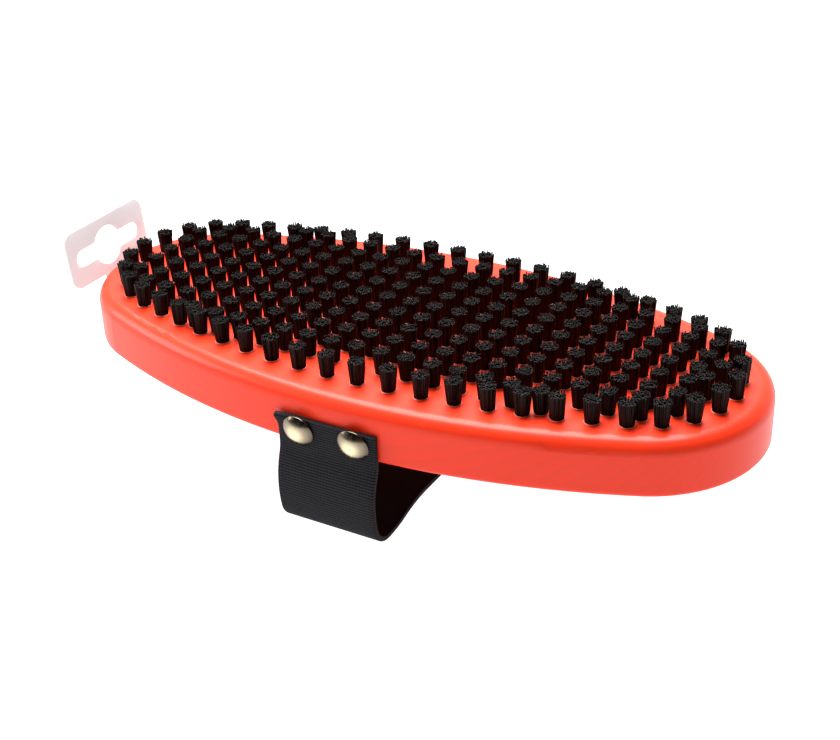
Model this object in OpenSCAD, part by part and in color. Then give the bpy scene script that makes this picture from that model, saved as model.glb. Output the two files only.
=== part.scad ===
// Oval body brush for grooming: a lacquered beech board filled with bristle tufts,
// an elastic webbing hand strap nailed to both sides and a hang tab at one end.
// +Z points out of the bristle face, +X runs along the board away from the hang tab.
// The origin is the centre of the board's flat back face.

/* [Board] */
// Length of the board, tip to tip
board_l = 208; // [190:1:230]
// Width of the board
board_w = 96.3; // [90:0.1:104]
// Thickness of the board
board_t = 15.8; // [14:0.1:20]
// Radius of the two ends in plan
end_r = 34.5; // [32:0.1:38]
// Rounding of the edge round the bristle face
top_round = 4; // [2:0.1:5]
// Rounding of the edge round the back face
back_round = 1.5; // [0.5:0.1:2.5]

/* [Bristles] */
// Height of the tufts above the board
tuft_h = 7.1; // [5:0.1:14]
// Diameter of a tuft where it leaves its hole
tuft_d = 3.6; // [3:0.1:3.8]
// Diameter of a tuft at its cut tips
tuft_tip_d = 4.4; // [3.8:0.1:4.6]
// Diameter of the drilled holes
hole_d = 3.8; // [3.8:0.1:4.2]
// Depth of the drilled holes
hole_depth = 9; // [7:0.1:11]
// Tufts in the outer ring
ring_n = 50; // [44:2:52]
// Half length of the outer ring
ring_a = 95.1; // [94:0.1:96]
// Half width of the outer ring
ring_b = 36.8; // [36.4:0.1:38]
// End radius of the outer ring
ring_r = 25.7; // [24:0.1:27]
// Spacing of the inner columns along the board
pitch_x = 7.7; // [7.5:0.01:7.8]
// Spacing of the inner rows across the board
pitch_y = 7.27; // [7.2:0.01:7.4]

/* [Hand strap] */
// Width of the webbing
strap_w = 30; // [25:1:38]
// Thickness of the webbing
strap_t = 1.5; // [1.2:0.1:2]
// Middle of the strap along the board
strap_x = 2; // [-10:0.5:10]
// Height of the strap's cut ends above the back face
strap_top = 9.2; // [8:0.1:11]
// Length of each free side of the loop
side_len = 20.5; // [18:0.5:24]

/* [Nails] */
// Diameter of the domed caps
cap_d = 10.2; // [9:0.1:11]
// Height of the domed caps
cap_h = 2.4; // [2:0.1:3.5]
// Distance between the two nails of a side
nail_gap = 16.6; // [15:0.1:18]
// Height of the nails above the back face
nail_z = 4.9; // [4.5:0.1:5.2]
// Length of a nail's shank
shank_l = 13; // [10:0.5:16]

/* [Hang tab] */
// Width of the tab's head
tab_w = 35.6; // [34:0.1:40]
// Height of the tab's head
tab_h = 17.8; // [16:0.1:20]
// Thickness of the plastic sheet
tab_t = 0.6; // [0.5:0.05:0.8]
// Lean of the tab away from the board, in degrees
tab_lean = 6; // [0:1:15]
// Shift of the tab's head across the board
tab_y = -5.5; // [-6:0.5:6]
// Length of the hook slot
slot_l = 28.6; // [26:0.1:30]
// Height of the hook slot
slot_h = 5.2; // [4.8:0.1:5.6]

/* [Hidden] */
$fn = 48;

half_l = board_l / 2;
half_w = board_w / 2;
clear = 0.02;

// Four-arc oval: radius of the long side arcs, and the angle where they meet the end arcs.
function side_radius(a, b, r) = (a * a + b * b - 2 * a * r) / (2 * (b - r));
function join_angle(a, b, r) = atan2(side_radius(a, b, r) - b, a - r);
side_r = side_radius(half_l, half_w, end_r);
side_c = side_r - half_w;
join_a = join_angle(half_l, half_w, end_r);
end_c = half_l - end_r;

// A point of an oval at arc length s from its +X tip, for the first quarter.
function quarter_point(a, b, r, s) =
    let (th = join_angle(a, b, r), big = side_radius(a, b, r), cut = r * th * PI / 180)
    s < cut
        ? [a - r + r * cos(s / r * 180 / PI), r * sin(s / r * 180 / PI)]
        : let (q = th + (s - cut) / big * 180 / PI) [big * cos(q), b - big + big * sin(q)];
function quarter_length(a, b, r) =
    let (th = join_angle(a, b, r)) (r * th + side_radius(a, b, r) * (90 - th)) * PI / 180;

// A point of the oval at the share u of its whole length, counted from the +X tip.
function oval_point(a, b, r, u) =
    let (
        q = quarter_length(a, b, r),
        v = (u - floor(u)) * 4,
        k = floor(v),
        f = v - k,
        p = quarter_point(a, b, r, q * (k % 2 == 0 ? f : 1 - f))
    )
    [(k == 0 || k == 3 ? 1 : -1) * p[0], (k < 2 ? 1 : -1) * p[1]];

// The ring's tufts stand a little closer together round the tips than along the sides.
ring_close = 0.0043;
ring_pts = [
    for (i = [0 : ring_n - 1])
        oval_point(ring_a, ring_b, ring_r, i / ring_n - ring_close * sin(720 * i / ring_n))
];

// Inner tufts: half the number of columns in each row, from the middle row outward.
row_reach = [11, 11, 11, 10, 7];
rows = len(row_reach) - 1;
tuft_gap = 4.75;
function nearest(p) =
    let (gaps = [for (r = ring_pts) norm(r - p)]) ring_pts[search(min(gaps), gaps)[0]];

// A grid tuft that would crowd the outer ring is drilled a little away from it.
function spaced(p) =
    let (r = nearest(p), d = norm(p - r)) d < tuft_gap ? r + (p - r) * tuft_gap / d : p;
function row_points(j) =
    let (n = row_reach[abs(j)]) [for (i = [-n : n]) spaced([i * pitch_x, j * pitch_y])];
grid_pts = [for (j = [-rows : rows]) each row_points(j)];

// Two more tufts fill the space between the grid and the ring at the +X tip.
tip_pts = [[ring_a - 7, -4.1], [ring_a - 5, 3.8]];
tuft_pts = concat(ring_pts, grid_pts, tip_pts);
tip_zone = 80;

// The strap's path in the Y-Z plane: each step is [length, turn in degrees].
// The heading is counted from straight down, positive outward.
half_path = [[3, 18], [side_len - 3.8, -30], [8.4, -80], [9, -14], [12, 16]];
path_start = [-half_w - clear - strap_t / 2, -0.3];
arc_parts = 12;

function walk(p, h, len, turn, n) =
    n == 0 ? [] : let (
        h2 = h + turn / n / 2,
        q = p + len / n * [-sin(h2), -cos(h2)]
    )
    concat(
        [[q[0], q[1], h + turn / n]],
        walk(q, h + turn / n, len - len / n, turn - turn / n, n - 1)
    );
function walk_one(s, step) =
    walk([s[0], s[1]], s[2], step[0], step[1], arc_parts);
function last(v) = v[len(v) - 1];
lead_path = concat([[path_start[0], path_start[1], 0]], walk_one(concat(path_start, [0]), half_path[0]));
side_path = concat(lead_path, walk_one(last(lead_path), half_path[1]));
bend_path = walk_one(last(side_path), half_path[2]);
rise_path = walk_one(last(bend_path), half_path[3]);
ease_path = walk_one(last(rise_path), half_path[4]);
palm_half = concat([last(side_path)], bend_path, rise_path, ease_path);
palm_path = concat(
    palm_half,
    [for (i = [len(palm_half) - 1 : -1 : 0])
        [-palm_half[i][0], palm_half[i][1], -180 - palm_half[i][2]]]
);

// The two faces of a band of webbing that follows a path.
function face(path, off) = [for (p = path) [p[0] + off * cos(p[2]), p[1] - off * sin(p[2])]];
function reversed(v) = [for (i = [len(v) - 1 : -1 : 0]) v[i]];
function band_outline(path, t) = concat(face(path, -t / 2), reversed(face(path, t / 2)));

nail_x = [strap_x - nail_gap / 2, strap_x + nail_gap / 2];
cap_sphere_r = (cap_d * cap_d / 4 + cap_h * cap_h) / (2 * cap_h);
cap_wall = 0.5;
cap_seat = side_r + clear + strap_t + 0.1;
shank_r = 0.8;

tab_seat = end_r + 0.05;
neck_w = 18;
neck_low = 2.2;
neck_top = 11.6;
hinge_z = 11.9;
tab_corner = 3.5;
slot_z = 9.6;
slot_bump_d = 12;
staple_w = 9;
staple_wire = 0.9;
staple_leg = 7;
staple_z = 6.5;
staple_seat = half_l + 0.05 + tab_t + clear;

// Half profile of a round slab of the board's thickness with both edges rounded.
module slab_profile(r) {
    square([r - top_round, board_t]);
    square([r - back_round, board_t / 2]);
    translate([0, back_round])
        square([r, board_t - back_round - top_round]);
    translate([r - top_round, board_t - top_round])
        circle(top_round);
    translate([r - back_round, back_round])
        circle(back_round);
}

module slab(r) {
    rotate_extrude()
        intersection() {
            slab_profile(r);
            square([r, board_t]);
        }
}

// What lies outside the end arc, over the wedge of the plan that the arc closes.
// The end slab is a hair larger than the tangent circle, so the two arcs cross cleanly.
module end_cutter() {
    far = 120;
    turn = join_a;
    translate([end_c, 0, 0])
        difference() {
            translate([0, 0, -1])
                linear_extrude(board_t + 2)
                    polygon([
                        [0, 0],
                        [far * cos(turn), -far * sin(turn)],
                        [far * 1.5, -far * sin(turn)],
                        [far * 1.5, far * sin(turn)],
                        [far * cos(turn), far * sin(turn)]
                    ]);
            slab(end_r + 0.03);
        }
}

// The oval block: a lens of two large slabs with both points cut back to the end arcs.
module oval_block() {
    difference() {
        intersection() {
            translate([0, -side_c, 0])
                slab(side_r);
            translate([0, side_c, 0])
                slab(side_r);
        }
        end_cutter();
        mirror([1, 0, 0])
            end_cutter();
    }
}

// Puts its child on the near (-1) or far (+1) side arc at x, with +Z pointing outward.
module on_side(side, x, r, z) {
    translate([0, -side * side_c, z])
        rotate([0, 0, -side * asin(x / side_r)])
            translate([0, side * r, 0])
                rotate([-side * 90, 0, 0])
                    children();
}

module board() {
    color("#f2492f")
        difference() {
            oval_block();
            for (p = tuft_pts)
                translate([p[0], p[1], board_t - hole_depth])
                    cylinder(d = hole_d, h = hole_depth + 1);
            for (side = [-1, 1])
                for (x = nail_x)
                    on_side(side, x, side_r - shank_l + 1, nail_z)
                        cylinder(r = shank_r + clear, h = shank_l);
            staple_legs(clear);
        }
}

// One bundle of filaments: the shank in its hole, then the flare up to the cut tips.
module tuft() {
    rotate_extrude()
        polygon([
            [0, 0.4 - hole_depth],
            [tuft_d / 2, 0.4 - hole_depth],
            [tuft_d / 2, 0],
            [tuft_tip_d / 2, tuft_h - 0.4],
            [tuft_tip_d / 2 - 0.3, tuft_h - 0.1],
            [0, tuft_h]
        ]);
}

module tufts_at(pts) {
    color("#2b2725")
        for (p = pts)
            translate([p[0], p[1], board_t])
                tuft();
}

module tufts_ring_far() {
    tufts_at([for (p = ring_pts) if (abs(p[0]) < tip_zone && p[1] > 0) p]);
}

module tufts_ring_near() {
    tufts_at([for (p = ring_pts) if (abs(p[0]) < tip_zone && p[1] < 0) p]);
}

module tufts_tip_left() {
    tufts_at([for (p = ring_pts) if (p[0] <= -tip_zone) p]);
}

module tufts_tip_right() {
    tufts_at(concat([for (p = ring_pts) if (p[0] >= tip_zone) p], tip_pts));
}

// The rows of the grid, from the near side to the far side.
module tufts_row_1() {
    tufts_at(row_points(-4));
}

module tufts_row_2() {
    tufts_at(row_points(-3));
}

module tufts_row_3() {
    tufts_at(row_points(-2));
}

module tufts_row_4() {
    tufts_at(row_points(-1));
}

module tufts_row_5() {
    tufts_at(row_points(0));
}

module tufts_row_6() {
    tufts_at(row_points(1));
}

module tufts_row_7() {
    tufts_at(row_points(2));
}

module tufts_row_8() {
    tufts_at(row_points(3));
}

module tufts_row_9() {
    tufts_at(row_points(4));
}

// Flat wire anchors: each holds a folded tuft down and bites into the wall of its hole.
module tuft_anchors() {
    color("#b9bcc0")
        for (p = tuft_pts)
            translate([p[0], p[1], board_t - hole_depth + 1.2])
                cube([0.4, hole_d + 0.6, 1.6], center = true);
}

// A cut end of the strap, held flat on the board's curved side by two nails.
module strap_end(side) {
    color("#303033")
        difference() {
            intersection() {
                translate([0, -side * side_c, path_start[1]])
                    difference() {
                        cylinder(r = side_r + clear + strap_t, h = strap_top - path_start[1]);
                        translate([0, 0, -1])
                            cylinder(r = side_r + clear, h = strap_top + 2);
                    }
                translate([strap_x - strap_w / 2, side > 0 ? half_w / 2 : -half_w - 10, -1])
                    cube([strap_w, half_w / 2 + 10, strap_top + 2]);
            }
            for (x = nail_x)
                on_side(side, x, side_r - 2, nail_z)
                    cylinder(r = shank_r + clear, h = 6);
        }
}

module strap_end_near() {
    strap_end(-1);
}

module strap_end_far() {
    strap_end(1);
}

// Turns a Y-Z outline into a band as wide as the webbing.
module webbing(path) {
    color("#303033")
        translate([strap_x - strap_w / 2, 0, 0])
            rotate([90, 0, 90])
                linear_extrude(strap_w)
                    polygon(band_outline(path, strap_t));
}

module strap_side_near() {
    webbing(side_path);
}

module strap_side_far() {
    mirror([0, 1, 0])
        webbing(side_path);
}

module strap_palm() {
    webbing(palm_path);
}

// A domed cap, hollow underneath, with its open rim on the webbing.
module nail_cap(side, x) {
    color("#b8a888")
        on_side(side, x, cap_seat, nail_z)
            rotate_extrude()
                intersection() {
                    difference() {
                        translate([0, cap_h - cap_sphere_r])
                            circle(cap_sphere_r);
                        translate([0, cap_h - cap_sphere_r])
                            circle(cap_sphere_r - cap_wall);
                    }
                    square([cap_d, cap_h + 1]);
                }
}

module nail_cap_near_left() {
    nail_cap(-1, nail_x[0]);
}

module nail_cap_near_right() {
    nail_cap(-1, nail_x[1]);
}

module nail_cap_far_left() {
    nail_cap(1, nail_x[0]);
}

module nail_cap_far_right() {
    nail_cap(1, nail_x[1]);
}

// The shank runs from the inside of the cap through the webbing into the wood.
module nail_shank(side, x) {
    head = cap_h - cap_wall - 0.05;
    point = 2.4;
    below = shank_l - (cap_seat - side_r) - 1.2;
    color("#a9a9a6")
        on_side(side, x, cap_seat, nail_z)
            rotate_extrude()
                polygon([
                    [0, -below],
                    [shank_r, point - below],
                    [shank_r, head],
                    [0, head]
                ]);
}

module nail_shank_near_left() {
    nail_shank(-1, nail_x[0]);
}

module nail_shank_near_right() {
    nail_shank(-1, nail_x[1]);
}

module nail_shank_far_left() {
    nail_shank(1, nail_x[0]);
}

module nail_shank_far_right() {
    nail_shank(1, nail_x[1]);
}

// The lower part of the hang tab, bent round the board's end and stapled to it.
module hang_tab_neck() {
    color("#e3e6ea")
        difference() {
            intersection() {
                translate([-end_c, 0, neck_low])
                    difference() {
                        cylinder(r = tab_seat + tab_t, h = neck_top - neck_low);
                        translate([0, 0, -1])
                            cylinder(r = tab_seat, h = neck_top);
                    }
                translate([-half_l - 5, -neck_w / 2, 0])
                    cube([20, neck_w, board_t]);
            }
            staple_legs(clear);
        }
}

module rounded_plate(w, h, r) {
    square([w - 2 * r, h], center = true);
    square([w, h - 2 * r], center = true);
    for (x = [-1, 1])
        for (y = [-1, 1])
            translate([x * (w / 2 - r), y * (h / 2 - r)])
                circle(r);
}

// The slot that a shop hook enters, with a wider round middle.
module hook_slot() {
    square([slot_l - slot_h, slot_h], center = true);
    for (x = [-1, 1])
        translate([x * (slot_l - slot_h) / 2, 0])
            circle(d = slot_h);
    circle(d = slot_bump_d);
}

// The head of the hang tab, drawn with Y of the sketch going up the sheet.
module hang_tab_head() {
    color("#e3e6ea")
        translate([-half_l - 0.05 - tab_t / 2, 0, hinge_z])
            rotate([0, -tab_lean, 0])
                rotate([90, 0, 90])
                    translate([0, 0, -tab_t / 2])
                        linear_extrude(tab_t)
                            difference() {
                                union() {
                                    translate([tab_y, 1 + tab_h / 2])
                                        rounded_plate(tab_w, tab_h, tab_corner);
                                    translate([-neck_w / 2, 0])
                                        square([neck_w, 4]);
                                }
                                translate([tab_y, slot_z])
                                    hook_slot();
                            }
}

// One staple of square wire: a straight crown over the neck and two legs in the wood.
module tab_staple() {
    color("#c3c6c9")
        union() {
            translate([-staple_seat - staple_wire / 2, 0, staple_z])
                cube([staple_wire, staple_w, staple_wire], center = true);
            staple_legs(0);
        }
}

// The two legs, or with a gap the slots that they stand in.
module staple_legs(gap) {
    for (y = [-1, 1])
        translate([-staple_seat - staple_wire / 2, y * (staple_w - staple_wire) / 2, staple_z])
            translate([0, -staple_wire / 2 - gap, -staple_wire / 2 - gap])
                cube([staple_leg + gap, staple_wire + 2 * gap, staple_wire + 2 * gap]);
}

board();
tufts_ring_far();
tufts_ring_near();
tufts_tip_left();
tufts_tip_right();
tufts_row_1();
tufts_row_2();
tufts_row_3();
tufts_row_4();
tufts_row_5();
tufts_row_6();
tufts_row_7();
tufts_row_8();
tufts_row_9();
tuft_anchors();
strap_end_near();
strap_end_far();
strap_side_near();
strap_side_far();
strap_palm();
nail_cap_near_left();
nail_cap_near_right();
nail_cap_far_left();
nail_cap_far_right();
nail_shank_near_left();
nail_shank_near_right();
nail_shank_far_left();
nail_shank_far_right();
hang_tab_neck();
hang_tab_head();
tab_staple();
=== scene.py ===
import math
import random
import bpy
from mathutils import Matrix, Quaternion, Vector


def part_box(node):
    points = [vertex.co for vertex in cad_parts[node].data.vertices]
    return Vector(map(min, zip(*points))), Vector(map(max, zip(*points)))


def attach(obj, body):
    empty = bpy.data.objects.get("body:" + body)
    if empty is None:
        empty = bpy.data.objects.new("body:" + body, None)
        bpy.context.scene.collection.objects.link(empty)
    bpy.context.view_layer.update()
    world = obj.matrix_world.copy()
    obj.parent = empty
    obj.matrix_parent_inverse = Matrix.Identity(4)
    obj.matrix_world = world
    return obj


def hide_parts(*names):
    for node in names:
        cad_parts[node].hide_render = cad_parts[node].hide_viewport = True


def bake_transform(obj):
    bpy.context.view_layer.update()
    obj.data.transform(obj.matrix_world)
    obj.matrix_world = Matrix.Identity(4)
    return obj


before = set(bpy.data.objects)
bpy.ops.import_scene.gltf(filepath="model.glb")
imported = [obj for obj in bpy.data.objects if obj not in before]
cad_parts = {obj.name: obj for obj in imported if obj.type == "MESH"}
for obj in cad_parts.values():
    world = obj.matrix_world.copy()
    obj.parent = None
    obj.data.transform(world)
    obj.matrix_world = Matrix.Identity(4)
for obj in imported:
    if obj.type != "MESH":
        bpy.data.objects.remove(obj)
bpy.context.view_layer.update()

mm = 0.001


# Camera
# A short telephoto view from beside the near long side, looking down on the bristle face.
# It aims at the centre of the board's back face and leans two degrees.
azimuth, elevation, lean = math.radians(30.92), math.radians(28.99), math.radians(-2.2)
camera_mm = 431.6
away = Vector((
    math.sin(azimuth) * math.cos(elevation),
    -math.cos(azimuth) * math.cos(elevation),
    math.sin(elevation),
))
bpy.ops.object.camera_add(location=away * camera_mm * mm)
camera = bpy.context.object
camera.name = "camera"
camera.rotation_mode = "QUATERNION"
camera.rotation_quaternion = away.to_track_quat("Z", "Y") @ Quaternion((0, 0, 1), lean)
camera.data.sensor_width = 36
camera.data.lens = 64.3
camera.data.shift_x = 0.0077
camera.data.shift_y = 0.0004
camera.data.clip_start = 0.01
bpy.context.scene.camera = camera


# Studio
# A lit white acrylic table under the strap's lowest point, and soft white light all round.
# The room darkens overhead, so the board's top face keeps a deeper red than its side.
bpy.context.scene.view_settings.view_transform = "Standard"


def sheen_colour(code):
    """The linear RGBA of an sRGB hex value."""
    parts = [int(code[i:i + 2], 16) / 255 for i in (1, 3, 5)]
    return [c / 12.92 if c < 0.04045 else ((c + 0.055) / 1.055) ** 2.4 for c in parts] + [1]


def add_node(tree, kind, inputs=(), **settings):
    """A node of that kind with its settings, and a value or a link for each named input."""
    node = tree.nodes.new(kind)
    for name, value in settings.items():
        setattr(node, name, value)
    for name, value in dict(inputs).items():
        if isinstance(value, bpy.types.NodeSocket):
            tree.links.new(value, node.inputs[name])
        else:
            node.inputs[name].default_value = value
    return node


def stop(ramp, places):
    """Sets a colour ramp's stops to the given positions and grey levels or colours."""
    stops = ramp.color_ramp.elements
    while len(stops) < len(places):
        stops.new(0.5)
    for element, (position, value) in zip(stops, places):
        element.position = position
        element.color = value if hasattr(value, "__len__") else (value, value, value, 1)
    return ramp


def new_finish(name, colour, roughness, **more):
    """A material with one Principled shader, returned with its node tree and that shader."""
    material = bpy.data.materials.new(name)
    material.use_nodes = True
    tree = material.node_tree
    shader = tree.nodes["Principled BSDF"]
    shader.inputs["Base Color"].default_value = sheen_colour(colour)
    shader.inputs["Roughness"].default_value = roughness
    for key, value in more.items():
        shader.inputs[key.replace("_", " ")].default_value = value
    return material, tree, shader


world = bpy.data.worlds.new("white room")
bpy.context.scene.world = world
world.use_nodes = True
sky = world.node_tree
direction = add_node(sky, "ShaderNodeTexCoord")
height = add_node(sky, "ShaderNodeSeparateXYZ", {"Vector": direction.outputs["Generated"]})
up = stop(
    add_node(sky, "ShaderNodeValToRGB", {"Fac": height.outputs["Z"]}),
    [(0.0, 1.0), (0.3, 0.9), (0.62, 0.4)],
)
# One black flag stands in front, above the object's own height, and one at the right.
shown = up.outputs["Color"]
for side, places in [
    ((-0.42, -0.8, 0.42), [(0.5, 1.0), (0.78, 0.05)]),
    ((0.95, -0.3, 0.05), [(0.1, 1.0), (0.7, 0.08)]),
]:
    flag_side = add_node(
        sky, "ShaderNodeVectorMath",
        {0: direction.outputs["Generated"], 1: side},
        operation="DOT_PRODUCT",
    )
    flag = stop(
        add_node(sky, "ShaderNodeValToRGB", {"Fac": flag_side.outputs["Value"]}), places
    )
    lit = add_node(
        sky, "ShaderNodeMix",
        {"Factor": 1.0, 6: shown, 7: flag.outputs["Color"]},
        data_type="RGBA", blend_type="MULTIPLY",
    )
    shown = lit.outputs[2]
sky.links.new(shown, sky.nodes["Background"].inputs["Color"])
sky.nodes["Background"].inputs["Strength"].default_value = 1.1

for name, place, size, power in [
    ("side softbox", (-0.95, -0.35, 0.4), 0.5, 8.0),
    ("top softbox", (-0.25, 0.35, 0.95), 0.8, 34.0),
]:
    bpy.ops.object.light_add(type="AREA", location=place)
    lamp = bpy.context.object
    lamp.name = name
    lamp.data.size = size
    lamp.data.energy = power
    lamp.rotation_mode = "QUATERNION"
    lamp.rotation_quaternion = Vector(place).to_track_quat("Z", "Y")

# Opal acrylic lit from below: it stays white and throws soft light up at the object.
opal, tree, shader = new_finish(
    "lit opal acrylic", "#8c8c8c", 0.9, Emission_Color=(1, 1, 1, 1), Emission_Strength=1.15,
)
bpy.ops.object.select_all(action="DESELECT")
bpy.ops.mesh.primitive_plane_add(size=6, location=(0, 0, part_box("strap_palm")[0].z))
floor = bpy.context.object
floor.name = "floor"
bpy.ops.object.transform_apply()
floor.data.materials.append(opal)


# Board
# One oval block of beech, machined and sanded with a rounded upper edge, drilled for the
# tufts and sprayed with red-orange lacquer. The grain runs along it under the lacquer.
def rising(height_socket, tree, strength, depth_mm):
    """A bump of that real depth, for a shader's Normal."""
    bump = add_node(
        tree, "ShaderNodeBump",
        {"Height": height_socket, "Strength": strength, "Distance": depth_mm * mm},
    )
    return bump.outputs["Normal"]


# Sprayed lacquer over beech: a saturated film that mirrors the room softly, with the
# growth rings and pores just telling through it as a slightly redder shade.
lacquer, tree, shader = new_finish(
    "sprayed lacquer on beech", "#f53513", 0.45,
    Coat_Weight=0.15, Coat_Roughness=0.2, Specular_IOR_Level=0.2,
)
place = add_node(tree, "ShaderNodeTexCoord")
ring_gap_mm = 1.9
rings_at = add_node(
    tree, "ShaderNodeMapping",
    {"Vector": place.outputs["Object"], "Location": (0, -0.1, 0.06), "Scale": (0.06, 1, 1)},
)
rings = add_node(
    tree, "ShaderNodeTexWave",
    {
        "Vector": rings_at.outputs["Vector"],
        "Scale": math.pi / (10 * ring_gap_mm * mm),
        "Distortion": 1.5,
        "Detail": 2.0,
        "Detail Scale": 0.5,
    },
    wave_type="RINGS", rings_direction="X", wave_profile="SAW",
)
pores = add_node(
    tree, "ShaderNodeTexNoise",
    {"Vector": rings_at.outputs["Vector"], "Scale": 1 / (0.9 * mm), "Detail": 4.0},
)
relief = add_node(
    tree, "ShaderNodeMath",
    {0: rings.outputs["Fac"], 1: pores.outputs["Fac"]},
    operation="MULTIPLY",
)
tint = add_node(
    tree, "ShaderNodeMix",
    {"Factor": relief.outputs["Value"], 6: sheen_colour("#f63613"), 7: sheen_colour("#ea381c")},
    data_type="RGBA",
)
tree.links.new(tint.outputs[2], shader.inputs["Base Color"])
tree.links.new(rising(relief.outputs["Value"], tree, 0.3, 0.06), shader.inputs["Normal"])

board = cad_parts["board"]
board.material_slots[0].material = lacquer
board_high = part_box("board")[1]
board_top = board_high.z


# Tufts
# Each hole holds one bundle of black nylon filaments, folded over a flat wire and trimmed
# level by machine, so the bundle spreads a little and its cut tips stay ragged.
# Drawn nylon, cut across: nearly black and dull, some filaments a shade browner.
bristle, tree, shader = new_finish(
    "black nylon filament", "#100d0b", 0.55, Specular_IOR_Level=0.15,
)
place = add_node(tree, "ShaderNodeTexCoord")
shade = add_node(
    tree, "ShaderNodeTexNoise",
    {"Vector": place.outputs["Object"], "Scale": 1 / (0.5 * mm), "Detail": 1.0},
)
shade_tint = stop(
    add_node(tree, "ShaderNodeValToRGB", {"Fac": shade.outputs["Fac"]}),
    [(0.35, sheen_colour("#080605")), (0.7, sheen_colour("#1d1815"))],
)
tree.links.new(shade_tint.outputs["Color"], shader.inputs["Base Color"])

filament_mm = 0.46
tuft_foot_mm = 1.2
tuft_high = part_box("tufts_row_5")[1]
tuft_rise = tuft_high.z - board_top


def finish_mesh(name, material):
    """Names the object in hand and its mesh and gives it one material."""
    made = bpy.context.object
    made.name = name
    made.data.name = name
    made.data.materials.clear()
    made.data.materials.append(material)
    return made


def joined(copies, name):
    """Joins the copies into one object at the origin."""
    bpy.ops.object.select_all(action="DESELECT")
    for copy in copies:
        copy.select_set(True)
    bpy.context.view_layer.objects.active = copies[0]
    bpy.ops.object.join()
    whole = bpy.context.object
    whole.name = name
    whole.data.name = name
    return whole


def copied(source, matrix, name="copy"):
    """A copy of an object with its own mesh, moved there in its mesh."""
    copy = source.copy()
    copy.data = source.data.copy()
    copy.name = name
    copy.data.transform(matrix)
    bpy.context.collection.objects.link(copy)
    return copy


# One filament: a thin three-sided rod of unit length, cut square.
bpy.ops.object.select_all(action="DESELECT")
bpy.ops.mesh.primitive_cylinder_add(
    vertices=3, radius=filament_mm / 2 * mm, depth=1, location=(0, 0, 0.5)
)
bpy.ops.object.transform_apply()
filament = finish_mesh("filament", bristle)

# Each pattern of tuft is a round pack of filaments that leans outward towards its rim.
pack_rings = [1, 6, 12, 18, 24]
foot_r = 1.6 * mm
tip_r = 2.2 * mm
tip_wander = 0.14 * mm
rim_drop = 0.15 * mm
core_share = 0.86
chance = random.Random(7)
patterns = []
for kind in range(4):
    rods = []
    for ring, count in enumerate(pack_rings):
        out = ring / (len(pack_rings) - 1)
        turn = chance.uniform(0, math.tau)
        for k in range(count):
            angle = turn + math.tau * (k + chance.uniform(-0.18, 0.18)) / count
            rim = Vector((math.cos(angle), math.sin(angle), 0)) * out
            foot = rim * foot_r
            foot.z = -tuft_foot_mm * mm
            spread = tip_r * chance.uniform(0.94, 1.05)
            tip = rim * spread + Vector((
                chance.uniform(-tip_wander, tip_wander),
                chance.uniform(-tip_wander, tip_wander),
                tuft_rise * chance.uniform(0.92, 1.0) - out * rim_drop,
            ))
            rod = tip - foot
            stand = Matrix.Translation(foot) @ rod.to_track_quat("Z", "Y").to_matrix().to_4x4()
            stand = stand @ Matrix.Diagonal((1, 1, rod.length, 1))
            twist = Matrix.Rotation(chance.uniform(0, math.tau), 4, "Z")
            rods.append(copied(filament, stand @ twist))
    # The packed middle, where no light gets between the filaments.
    core_rise = tuft_rise * core_share + tuft_foot_mm * mm
    bpy.ops.object.select_all(action="DESELECT")
    bpy.ops.mesh.primitive_cone_add(
        vertices=10, radius1=foot_r, radius2=tip_r * core_share, depth=core_rise,
        location=(0, 0, core_rise / 2 - tuft_foot_mm * mm),
    )
    bpy.ops.object.transform_apply()
    rods.append(finish_mesh("core", bristle))
    patterns.append(joined(rods, f"tuft_pattern_{kind}"))
bpy.data.objects.remove(filament)

tuft_nodes = [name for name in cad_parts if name.startswith("tufts_")]
tuft_centres = {}
for name in tuft_nodes:
    tip_points = {
        (round(v.co.x, 5), round(v.co.y, 5))
        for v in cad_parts[name].data.vertices
        if v.co.z > tuft_high.z - 0.02 * mm
    }
    tuft_centres[name] = sorted(tip_points)
for name, centres in tuft_centres.items():
    bundles = [
        copied(
            chance.choice(patterns),
            Matrix.Translation((x, y, board_top)) @ Matrix.Rotation(chance.uniform(0, math.tau), 4, "Z"),
        )
        for x, y in centres
    ]
    bundle = joined(bundles, name.replace("tufts_", "bristles_"))
    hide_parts(name)
    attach(bundle, "brush")
for pattern in patterns:
    bpy.data.objects.remove(pattern)


# Lacquer collars
# The wet lacquer creeps up round the mouth of each hole and dries as a thin raised ring.
collar_mm = 2.05
bead_mm = 0.2
bpy.ops.object.select_all(action="DESELECT")
bpy.ops.mesh.primitive_torus_add(
    major_radius=collar_mm * mm, minor_radius=bead_mm * mm, major_segments=12, minor_segments=4,
    location=(0, 0, 0),
)
bpy.ops.object.transform_apply()
bpy.ops.object.shade_smooth()
# Thin lacquer film: glossier than the sprayed face, and painted paler as a highlight round the mouth of
# each hole.
film, tree, shader = new_finish(
    "lacquer collar, painted highlight", "#ff8066", 0.3, Coat_Weight=0.4, Coat_Roughness=0.1,
)
collar = finish_mesh("collar", film)
collars = joined(
    [
        copied(collar, Matrix.Translation((x, y, board_top)))
        for centres in tuft_centres.values() for x, y in centres
    ],
    "lacquer_collars",
)
bpy.data.objects.remove(collar)
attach(collars, "brush")


# Hand strap
# One band of woven elastic webbing, cut to length, nailed to both sides of the board and
# looped under it. The free part stretches.
strap_low, strap_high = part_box("strap_palm")
end_low, end_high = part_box("strap_end_near")
webbing_mm = 1.5
strap_middle = (strap_low.x + strap_high.x) / 2
strap_wide = strap_high.x - strap_low.x
board_half = board_high.y
held_mm = (end_high.z - end_low.z) / mm
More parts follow.
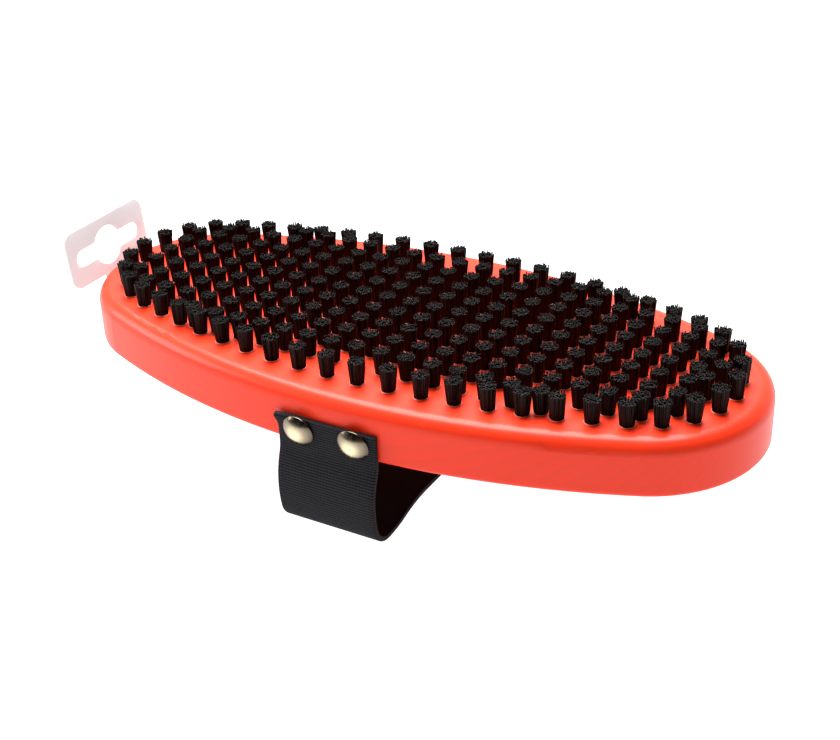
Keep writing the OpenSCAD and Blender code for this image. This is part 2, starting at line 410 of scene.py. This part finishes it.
# Below the held end the band leans out, sags, turns under the board and levels out. Each
# step of the way is a length in mm and a turn in degrees.
half_route = [(3, 18), (16.7, -30), (8.4, -80), (9, -14), (12, 16)]
clear_mm = 0.02
spot = Vector((-board_half - (clear_mm + webbing_mm / 2) * mm, end_high.z))
heading = 0.0

# The band starts as a strip 1 mm tall at the near cut end, and its lower edge is paid out.
bpy.ops.object.select_all(action="DESELECT")
bpy.ops.mesh.primitive_grid_add(
    x_subdivisions=20, y_subdivisions=1, size=1, rotation=(math.pi / 2, 0, 0),
    location=(strap_middle, spot[0], spot[1] - 0.5 * mm),
)
bpy.context.object.scale = (strap_wide, mm, 1)
bpy.ops.object.transform_apply()
bpy.ops.object.mode_set(mode="EDIT")
bpy.ops.mesh.select_mode(type="VERT")
bpy.ops.mesh.select_all(action="DESELECT")
bpy.ops.object.mode_set(mode="OBJECT")
for v in bpy.context.object.data.vertices:
    v.select = v.co.z < spot[1] - 0.5 * mm
bpy.ops.object.mode_set(mode="EDIT")
walked = [(spot[0], spot[1], 0.0)]
spot = spot - Vector((0, mm))
walked.append((spot[0], spot[1], mm))


def pay_out(length, turn, steps):
    """Carries the band's last edge on along a straight run or an arc of the route."""
    global spot, heading
    forward = Vector((-math.sin(heading), -math.cos(heading)))
    inward = Vector((math.cos(heading), -math.sin(heading)))
    if turn == 0:
        for _ in range(steps):
            hop = forward * length / steps
            bpy.ops.mesh.extrude_region_move(
                TRANSFORM_OT_translate={"value": (0, hop[0], hop[1])}
            )
            spot = spot + hop
            walked.append((spot[0], spot[1], walked[-1][2] + length / steps))
        return
    radius = length / abs(turn)
    middle = spot + inward * radius * (-1 if turn > 0 else 1)
    bpy.ops.mesh.spin(
        steps=steps, angle=turn, center=(strap_middle, middle[0], middle[1]), axis=(1, 0, 0)
    )
    for k in range(steps):
        arm = Matrix.Rotation(-turn / steps * (k + 1), 2) @ (spot - middle)
        walked.append((*(middle + arm), walked[-1][2] + length / steps))
    spot = Vector(walked[-1][:2])
    heading += turn


pay_out((held_mm - 1) * mm, 0, round(held_mm - 1))
for length, turn in half_route:
    pay_out(length * mm, math.radians(turn), max(4, round(length)))
pay_out(-2 * spot[0], 0, 40)
for length, turn in reversed(half_route):
    pay_out(length * mm, math.radians(turn), max(4, round(length)))
pay_out(held_mm * mm, 0, round(held_mm))
bpy.ops.object.mode_set(mode="OBJECT")
# Woven polyester and rubber elastic: dull black, ribbed across by the weft.
webbing, tree, shader = new_finish(
    "woven elastic webbing", "#19191b", 0.85, Specular_IOR_Level=0.12,
)
# The side towards the hand: painted shade, flat and nearly black, darker and duller than the outer face.
webbing_back_painted_shade, _, _ = new_finish(
    "webbing back, painted shade", "#0b0a0a", 0.9, Specular_IOR_Level=0.05,
)
strap = finish_mesh("hand_strap", webbing)
strap.data.materials.append(webbing_back_painted_shade)

across = strap.data.uv_layers.new(name="weave")
along = {}
for v in strap.data.vertices:
    along[v.index] = min(walked, key=lambda w: (w[0] - v.co.y) ** 2 + (w[1] - v.co.z) ** 2)[2]
for loop in strap.data.loops:
    v = strap.data.vertices[loop.vertex_index]
    across.data[loop.index].uv = (v.co.x - strap_low.x, along[v.index])

# The cut ends follow the board's curved sides, and the free part evens out below it.
# Each end was cut a little short and askew, and its outer corner curls off the board.
side_radius = 218.3 * mm
even_out = 8 * mm
for v in strap.data.vertices:
    inward = math.copysign(1, -v.co.y)
    held = min(1, max(0, (v.co.z + even_out) / even_out))
    v.co.y += inward * held * v.co.x ** 2 / (2 * side_radius)
    edge = (v.co.x - strap_middle) / strap_wide
    top = min(1, max(0, (v.co.z - 1 * mm) / even_out))
    v.co.z -= (0.5 + 0.5 * edge) * mm * top
    curl = min(1, max(0, (-edge - 0.3) / 0.2)) * min(1, max(0, (v.co.z - 4 * mm) / (4 * mm)))
    v.co.y -= inward * 1.1 * mm * curl ** 2
    v.co.x -= 0.7 * mm * curl ** 2

solid = strap.modifiers.new("thickness", "SOLIDIFY")
solid.thickness = webbing_mm * mm
solid.offset = 0
# The offset shell takes the second material, the painted-shade back.
solid.material_offset = 1
solid.material_offset_rim = 0
bevel = strap.modifiers.new("soft edges", "BEVEL")
bevel.width = 0.35 * mm
bevel.segments = 2
bevel.limit_method = "ANGLE"
bevel.angle_limit = math.radians(50)
for modifier in ("thickness", "soft edges"):
    bpy.ops.object.modifier_apply(modifier=modifier)
bpy.ops.object.mode_set(mode="EDIT")
bpy.ops.mesh.select_all(action="SELECT")
bpy.ops.mesh.normals_make_consistent(inside=False)
bpy.ops.object.mode_set(mode="OBJECT")
bpy.ops.object.shade_smooth_by_angle(angle=math.radians(40))

weave = add_node(tree, "ShaderNodeUVMap", uv_map="weave")
part = add_node(tree, "ShaderNodeSeparateXYZ", {"Vector": weave.outputs["UV"]})
rib_mm = 0.8
cord_mm = 1.0
ribs = add_node(
    tree, "ShaderNodeMath",
    {0: part.outputs["Y"], 1: math.tau / (rib_mm * mm)},
    operation="MULTIPLY",
)
ribs = add_node(tree, "ShaderNodeMath", {0: ribs.outputs["Value"]}, operation="SINE")
cords = add_node(
    tree, "ShaderNodeMath",
    {0: part.outputs["X"], 1: math.tau / (cord_mm * mm)},
    operation="MULTIPLY",
)
cords = add_node(tree, "ShaderNodeMath", {0: cords.outputs["Value"]}, operation="SINE")
weave_height = add_node(
    tree, "ShaderNodeMath",
    {0: cords.outputs["Value"], 1: 0.3, 2: ribs.outputs["Value"]},
    operation="MULTIPLY_ADD",
)
fuzz = add_node(
    tree, "ShaderNodeTexNoise",
    {"Vector": weave.outputs["UV"], "Scale": 1 / (0.6 * mm), "Detail": 3.0},
)
thread = add_node(
    tree, "ShaderNodeMath",
    {0: fuzz.outputs["Fac"], 1: 1.6, 2: weave_height.outputs["Value"]},
    operation="MULTIPLY_ADD",
)
thread_tint = stop(
    add_node(tree, "ShaderNodeValToRGB", {"Fac": thread.outputs["Value"]}),
    [(0.0, sheen_colour("#101013")), (1.0, sheen_colour("#2b2b2f"))],
)
tree.links.new(thread_tint.outputs["Color"], shader.inputs["Base Color"])
tree.links.new(rising(thread.outputs["Value"], tree, 0.5, 0.12), shader.inputs["Normal"])

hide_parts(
    "strap_end_near", "strap_end_far", "strap_side_near", "strap_side_far", "strap_palm"
)
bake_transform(strap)


# Nails
# Upholstery nails: a thin domed cap pressed from brass sheet, plated and aged, on a steel
# shank. Two hold each end of the strap.
# Aged brass plate: polished pale metal on the crown and a dark patina towards the rim.
cap_brass, tree, shader = new_finish(
    "aged brass plate", "#b9a982", 0.2, Metallic=1.0,
)
rim = add_node(tree, "ShaderNodeAttribute", attribute_name="rim")
aged_tint = stop(
    add_node(tree, "ShaderNodeValToRGB", {"Fac": rim.outputs["Fac"]}),
    [(0.2, sheen_colour("#e0d3aa")), (0.6, sheen_colour("#8f8370")), (1.0, sheen_colour("#433c34"))],
)
tree.links.new(aged_tint.outputs["Color"], shader.inputs["Base Color"])
place = add_node(tree, "ShaderNodeTexCoord")
wear = add_node(
    tree, "ShaderNodeTexNoise",
    {"Vector": place.outputs["Object"], "Scale": 1 / (1.2 * mm), "Detail": 3.0},
)
wear_sheen = stop(
    add_node(tree, "ShaderNodeValToRGB", {"Fac": wear.outputs["Fac"]}), [(0.3, 0.16), (0.8, 0.34)]
)
tree.links.new(wear_sheen.outputs["Color"], shader.inputs["Roughness"])

cap_names = ["near_left", "near_right", "far_left", "far_right"]
cap_low, cap_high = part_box("nail_cap_near_left")
cap_r = (cap_high.z - cap_low.z) / 2
cap_rise = 2.4 * mm
skirt = 0.35 * mm
plate_mm = 0.45
droop = 0.16
dome_r = (cap_r ** 2 + cap_rise ** 2) / (2 * cap_rise)
bpy.ops.object.select_all(action="DESELECT")
bpy.ops.mesh.primitive_uv_sphere_add(
    segments=48, ring_count=32, radius=dome_r, location=(0, 0, cap_rise - dome_r)
)
bpy.ops.object.transform_apply()
bpy.ops.object.mode_set(mode="EDIT")
bpy.ops.mesh.select_all(action="SELECT")
bpy.ops.mesh.bisect(plane_co=(0, 0, skirt), plane_no=(0, 0, 1), clear_inner=True)
bpy.ops.mesh.select_all(action="DESELECT")
bpy.ops.mesh.select_non_manifold()
bpy.ops.mesh.extrude_region_move(TRANSFORM_OT_translate={"value": (0, 0, -skirt)})
bpy.ops.object.mode_set(mode="OBJECT")
dome = finish_mesh("dome", cap_brass)
wall = dome.modifiers.new("sheet", "SOLIDIFY")
wall.thickness = plate_mm * mm
wall.offset = -1
edge = dome.modifiers.new("rim", "BEVEL")
edge.width = 0.12 * mm
edge.segments = 2
edge.limit_method = "ANGLE"
edge.angle_limit = math.radians(40)
for modifier in ("sheet", "rim"):
    bpy.ops.object.modifier_apply(modifier=modifier)
bpy.ops.object.shade_smooth_by_angle(angle=math.radians(35))
share = dome.data.attributes.new("rim", "FLOAT", "POINT")
for v in dome.data.vertices:
    share.data[v.index].value = math.hypot(v.co.x, v.co.y) / cap_r
# Each cap sits square on the curved webbing, but for a slight droop.
for name in cap_names:
    low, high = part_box("nail_cap_" + name)
    centre = (low + high) / 2
    side = math.copysign(1, centre.y)
    outward = Vector((centre.x, side * (side_radius - board_half) + centre.y, 0)).normalized()
    seat_y = low.y if side > 0 else high.y
    seat = Vector((centre.x, seat_y, centre.z))
    outward = (outward - Vector((0, 0, droop))).normalized()
    cap = copied(
        dome,
        Matrix.Translation(seat) @ outward.to_track_quat("Z", "Y").to_matrix().to_4x4(),
        "cap_" + name,
    )
    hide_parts("nail_cap_" + name)
    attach(cap, "brush")
bpy.data.objects.remove(dome)

# Drawn steel wire for the shanks, the staple and the anchors: plain grey, fine draw lines.
wire_steel, tree, shader = new_finish("drawn steel wire", "#a8a9ab", 0.35, Metallic=1.0)
place = add_node(tree, "ShaderNodeTexCoord")
lines = add_node(
    tree, "ShaderNodeTexNoise",
    {"Vector": place.outputs["Object"], "Scale": 1 / (0.2 * mm), "Detail": 2.0},
)
tree.links.new(rising(lines.outputs["Fac"], tree, 0.3, 0.02), shader.inputs["Normal"])
for name in ["nail_shank_" + c for c in cap_names] + ["tab_staple", "tuft_anchors"]:
    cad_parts[name].material_slots[0].material = wire_steel


# Hang tab
# A tab punched from frosted plastic sheet, with a slot for a shop hook. Its neck is bent
# round the board's end and stapled, and the head springs back when it is pushed.
# Frosted polypropylene: milky, lets light through and scatters it.
frosted, tree, shader = new_finish(
    "frosted polypropylene sheet", "#dadcdf", 0.5,
    Transmission_Weight=0.25, IOR=1.49, Specular_IOR_Level=0.5,
    Subsurface_Weight=0.6, Subsurface_Radius=(0.003, 0.003, 0.003), Subsurface_Scale=1.0,
)
place = add_node(tree, "ShaderNodeTexCoord")
frost = add_node(
    tree, "ShaderNodeTexNoise",
    {"Vector": place.outputs["Object"], "Scale": 1 / (0.35 * mm), "Detail": 2.0},
)
tree.links.new(rising(frost.outputs["Fac"], tree, 0.35, 0.03), shader.inputs["Normal"])

head_low, head_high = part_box("hang_tab_head")
neck_low, neck_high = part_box("hang_tab_neck")
sheet_mm = 0.6
lean_back = math.radians(6)
# The head stands on this line, where the board's rounded edge begins.
bend_line = Vector((-104.35 * mm, 0, 11.9 * mm))
head_wide = head_high.y - head_low.y
head_tall = 17.8 * mm
head_at = bend_line + Vector((0, (head_low.y + head_high.y) / 2, 1 * mm + head_tall / 2))
slot_at = bend_line + Vector((0, head_at.y, 9.6 * mm))
slot_half_mm = 11.7
slot_end_mm = 2.6
slot_bump_mm = 6
bpy.ops.object.select_all(action="DESELECT")
bpy.ops.mesh.primitive_plane_add(
    size=1, rotation=(0, math.pi / 2, 0), location=head_at - Vector((sheet_mm / 2 * mm, 0, 0))
)
bpy.context.object.scale = (head_tall, head_wide, 1)
bpy.ops.object.transform_apply()
tab = finish_mesh("hang_tab", frosted)
bpy.ops.object.mode_set(mode="EDIT")
bpy.ops.mesh.select_all(action="SELECT")
bpy.ops.mesh.bevel(offset=3.5 * mm, segments=8, affect="VERTICES")
bpy.ops.mesh.select_all(action="SELECT")
bpy.ops.mesh.extrude_region_move(TRANSFORM_OT_translate={"value": (sheet_mm * mm, 0, 0)})
bpy.ops.mesh.select_all(action="SELECT")
bpy.ops.mesh.normals_make_consistent(inside=False)
bpy.ops.object.mode_set(mode="OBJECT")

neck_tall = 4 * mm + bend_line.z - neck_low.z
bpy.ops.mesh.primitive_cube_add(
    size=1, location=(bend_line.x, 0, neck_low.z + neck_tall / 2)
)
bpy.context.object.scale = (sheet_mm * mm, neck_high.y - neck_low.y, neck_tall)
neck = bpy.context.object
# The hook slot is punched as a long box with two round ends and a wider round middle.
punches = [(neck, "UNION")]
bpy.ops.mesh.primitive_cube_add(size=1, location=slot_at)
bpy.context.object.scale = (2 * mm, 2 * slot_half_mm * mm, 2 * slot_end_mm * mm)
punches.append((bpy.context.object, "DIFFERENCE"))
for y, radius in ((-slot_half_mm, slot_end_mm), (slot_half_mm, slot_end_mm), (0, slot_bump_mm)):
    bpy.ops.mesh.primitive_cylinder_add(
        vertices=40, radius=radius * mm, depth=2 * mm, rotation=(0, math.pi / 2, 0),
        location=slot_at + Vector((0, y * mm, 0)),
    )
    punches.append((bpy.context.object, "DIFFERENCE"))
for tool, kind in punches:
    bpy.ops.object.select_all(action="DESELECT")
    tool.select_set(True)
    bpy.context.view_layer.objects.active = tool
    bpy.ops.object.transform_apply()
    bpy.context.view_layer.objects.active = tab
    cut = tab.modifiers.new("punch", "BOOLEAN")
    cut.object = tool
    cut.operation = kind
    cut.solver = "EXACT"
    bpy.ops.object.modifier_apply(modifier="punch")
    bpy.data.objects.remove(tool)

# Rows of vertices across the bend and the wrapped neck, so that both can curve.
bpy.ops.object.select_all(action="DESELECT")
tab.select_set(True)
bpy.context.view_layer.objects.active = tab
bpy.ops.object.mode_set(mode="EDIT")
for z in (3.5, 5, 6.5, 8, 9.5, 10.5, 11, 11.3, 11.6, 11.9, 12.2, 12.5):
    bpy.ops.mesh.select_all(action="SELECT")
    bpy.ops.mesh.bisect(plane_co=(0, 0, z * mm), plane_no=(0, 0, 1))
for y in range(-8, 9, 2):
    bpy.ops.mesh.select_all(action="SELECT")
    bpy.ops.mesh.bisect(plane_co=(0, y * mm, 0), plane_no=(0, 1, 0))
bpy.ops.object.mode_set(mode="OBJECT")
wrap_r = 34.85 * mm
wrap_half = 10 * mm
for v in tab.data.vertices:
    wrapped = min(1, max(0, (12.2 * mm - v.co.z) / (1.2 * mm)))
    inset = wrap_r - math.sqrt(wrap_r ** 2 - min(abs(v.co.y), wrap_half) ** 2)
    v.co.x += wrapped * inset
    over = max(0, v.co.z - bend_line.z)
    v.co.x -= over * math.sin(lean_back)
    v.co.z -= over * (1 - math.cos(lean_back))
bpy.ops.object.mode_set(mode="EDIT")
bpy.ops.mesh.select_all(action="SELECT")
bpy.ops.mesh.normals_make_consistent(inside=False)
bpy.ops.object.mode_set(mode="OBJECT")
bpy.ops.object.shade_smooth_by_angle(angle=math.radians(35))
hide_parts("hang_tab_neck", "hang_tab_head")
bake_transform(tab)
